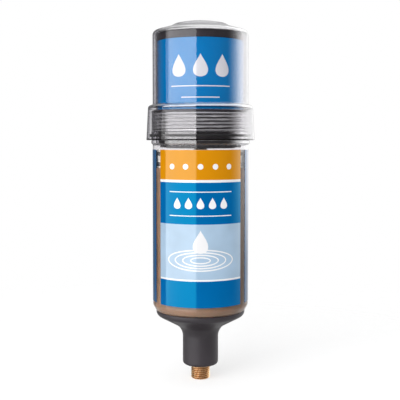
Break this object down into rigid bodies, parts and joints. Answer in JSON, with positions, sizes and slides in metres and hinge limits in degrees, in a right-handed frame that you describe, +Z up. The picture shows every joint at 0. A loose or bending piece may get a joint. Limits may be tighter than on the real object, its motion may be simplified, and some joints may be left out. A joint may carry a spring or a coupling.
{
  "type": "automatic lubricator",
  "caption": "Single-point automatic lubricator: clear grease canister with a screw-driven piston, a battery drive unit and a clear screw cover, on a pipe-thread outlet.",
  "frame": {"origin": "centre of the outlet shoulder, the flat ring that seats against the machine round the pipe thread", "axes": "+Z runs up the canister's axis from the outlet to the cover, -Y faces the front label, +X is to the right seen from the front"},
  "size_m": [0.075, 0.075, 0.2492],
  "materials": {
    "black_plastic": "moulded black plastic",
    "brass": "bright turned brass",
    "black_rubber": "black nitrile rubber",
    "clear_canister": "clear moulded plastic",
    "clear_cover": "clear moulded plastic",
    "front_label": "gloss printed film in fields of blue, orange and pale grey",
    "back_label": "gloss printed film, plain blue",
    "drive_label": "satin printed film, plain blue",
    "grease": "tan lubricating grease",
    "natural_plastic": "uncoloured moulded plastic",
    "spindle_plastic": "glass-filled plastic",
    "steel": "bright steel",
    "pinion_brass": "machined brass",
    "gearbox_plastic": "dark moulded plastic",
    "cradle_plastic": "dark grey moulded plastic",
    "cell_wrap": "plain shrink wrap, no print",
    "contact_metal": "nickel-plated spring strip",
    "board": "green lacquered board",
    "component_black": "black moulded packages",
    "capacitor_sleeve": "dark sleeve",
    "light_lens": "tinted resin",
    "window_plastic": "clear plastic",
    "dial_plastic": "pale grey moulded plastic"
  },
  "bodies": {
    "lubricator_body": {"base_funnel": "black_plastic", "outlet_nipple": "brass", "outlet_o_ring": "black_rubber", "reservoir": "clear_canister", "front_label": "front_label", "back_label": "back_label", "foot_bearing": "natural_plastic", "grease_fill": "grease", "drive_chassis": "black_plastic", "drive_o_ring": "black_rubber", "output_bush": "natural_plastic", "thrust_washer": "natural_plastic", "idler_pin": "steel", "gear_plate": "natural_plastic", "gear_plate_screws": "steel", "motor_gearbox": "gearbox_plastic", "drive_motor": "steel", "battery_cradle": "cradle_plastic", "battery_cell_1": "cell_wrap", "battery_cell_2": "cell_wrap", "battery_cell_3": "cell_wrap", "lower_contacts": "contact_metal", "upper_contacts": "contact_metal", "circuit_board": "board", "board_components": "component_black", "capacitor": "capacitor_sleeve", "dial_switches": "component_black", "status_lights": "light_lens", "light_windows": "window_plastic", "drive_housing": "black_plastic", "drive_label": "drive_label", "cap_seal": "black_rubber", "drive_cap": "black_plastic", "cap_screws": "steel"},
    "spindle_drive": {"spindle": "spindle_plastic", "output_gear": "natural_plastic"},
    "piston_set": {"piston": "natural_plastic", "piston_seal_lower": "black_rubber", "piston_seal_upper": "black_rubber", "spindle_wiper": "black_rubber"},
    "idler": {"idler_gear": "natural_plastic"},
    "pinion": {"motor_pinion": "pinion_brass"},
    "cover_seat": {"cover_o_ring": "black_rubber"},
    "cover_shell": {"cover": "clear_cover"},
    "period_setting": {"period_dial": "dial_plastic"},
    "volume_setting": {"volume_dial": "dial_plastic"}
  },
  "joints": [
    {"name": "spindle_spin", "type": "hinge", "parent": "lubricator_body", "child": "spindle_drive", "pos_m": [0, 0, 0.1], "axis": [0, 0, 1], "range_deg": [0, 8280]},
    {"name": "piston_slide", "type": "slide", "parent": "lubricator_body", "child": "piston_set", "axis": [0, 0, -1], "range_m": [0, 0.092], "deforming": ["grease_fill"]},
    {"name": "idler_spin", "type": "hinge", "parent": "lubricator_body", "child": "idler", "pos_m": [0, 0.0168, 0.165], "axis": [0, 0, 1], "range_deg": [-20700, 0]},
    {"name": "pinion_spin", "type": "hinge", "parent": "lubricator_body", "child": "pinion", "pos_m": [-0.011, 0.012, 0.165], "axis": [0, 0, 1], "range_deg": [0, 62100]},
    {"name": "cover_rise", "type": "slide", "parent": "lubricator_body", "child": "cover_seat", "axis": [0, 0, 1], "range_m": [0, 0.0115]},
    {"name": "cover_turn", "type": "hinge", "parent": "cover_seat", "child": "cover_shell", "pos_m": [0, 0, 0.2], "axis": [0, 0, 1], "range_deg": [0, 1800]},
    {"name": "period_dial_turn", "type": "hinge", "parent": "lubricator_body", "child": "period_setting", "pos_m": [-0.01, 0.008, 0.228], "axis": [0, 0, 1], "range_deg": [-330, 0]},
    {"name": "volume_dial_turn", "type": "hinge", "parent": "lubricator_body", "child": "volume_setting", "pos_m": [0.01, 0.008, 0.228], "axis": [0, 0, 1], "range_deg": [0, 90]}
  ],
  "couplings": [
    {"joint": "piston_slide", "follows": "spindle_spin", "m_per_rad": 0.00063662},
    {"joint": "idler_spin", "follows": "spindle_spin", "ratio": -2.5},
    {"joint": "pinion_spin", "follows": "spindle_spin", "ratio": 7.5},
    {"joint": "cover_rise", "follows": "cover_turn", "m_per_rad": 0.00036606}
  ]
}
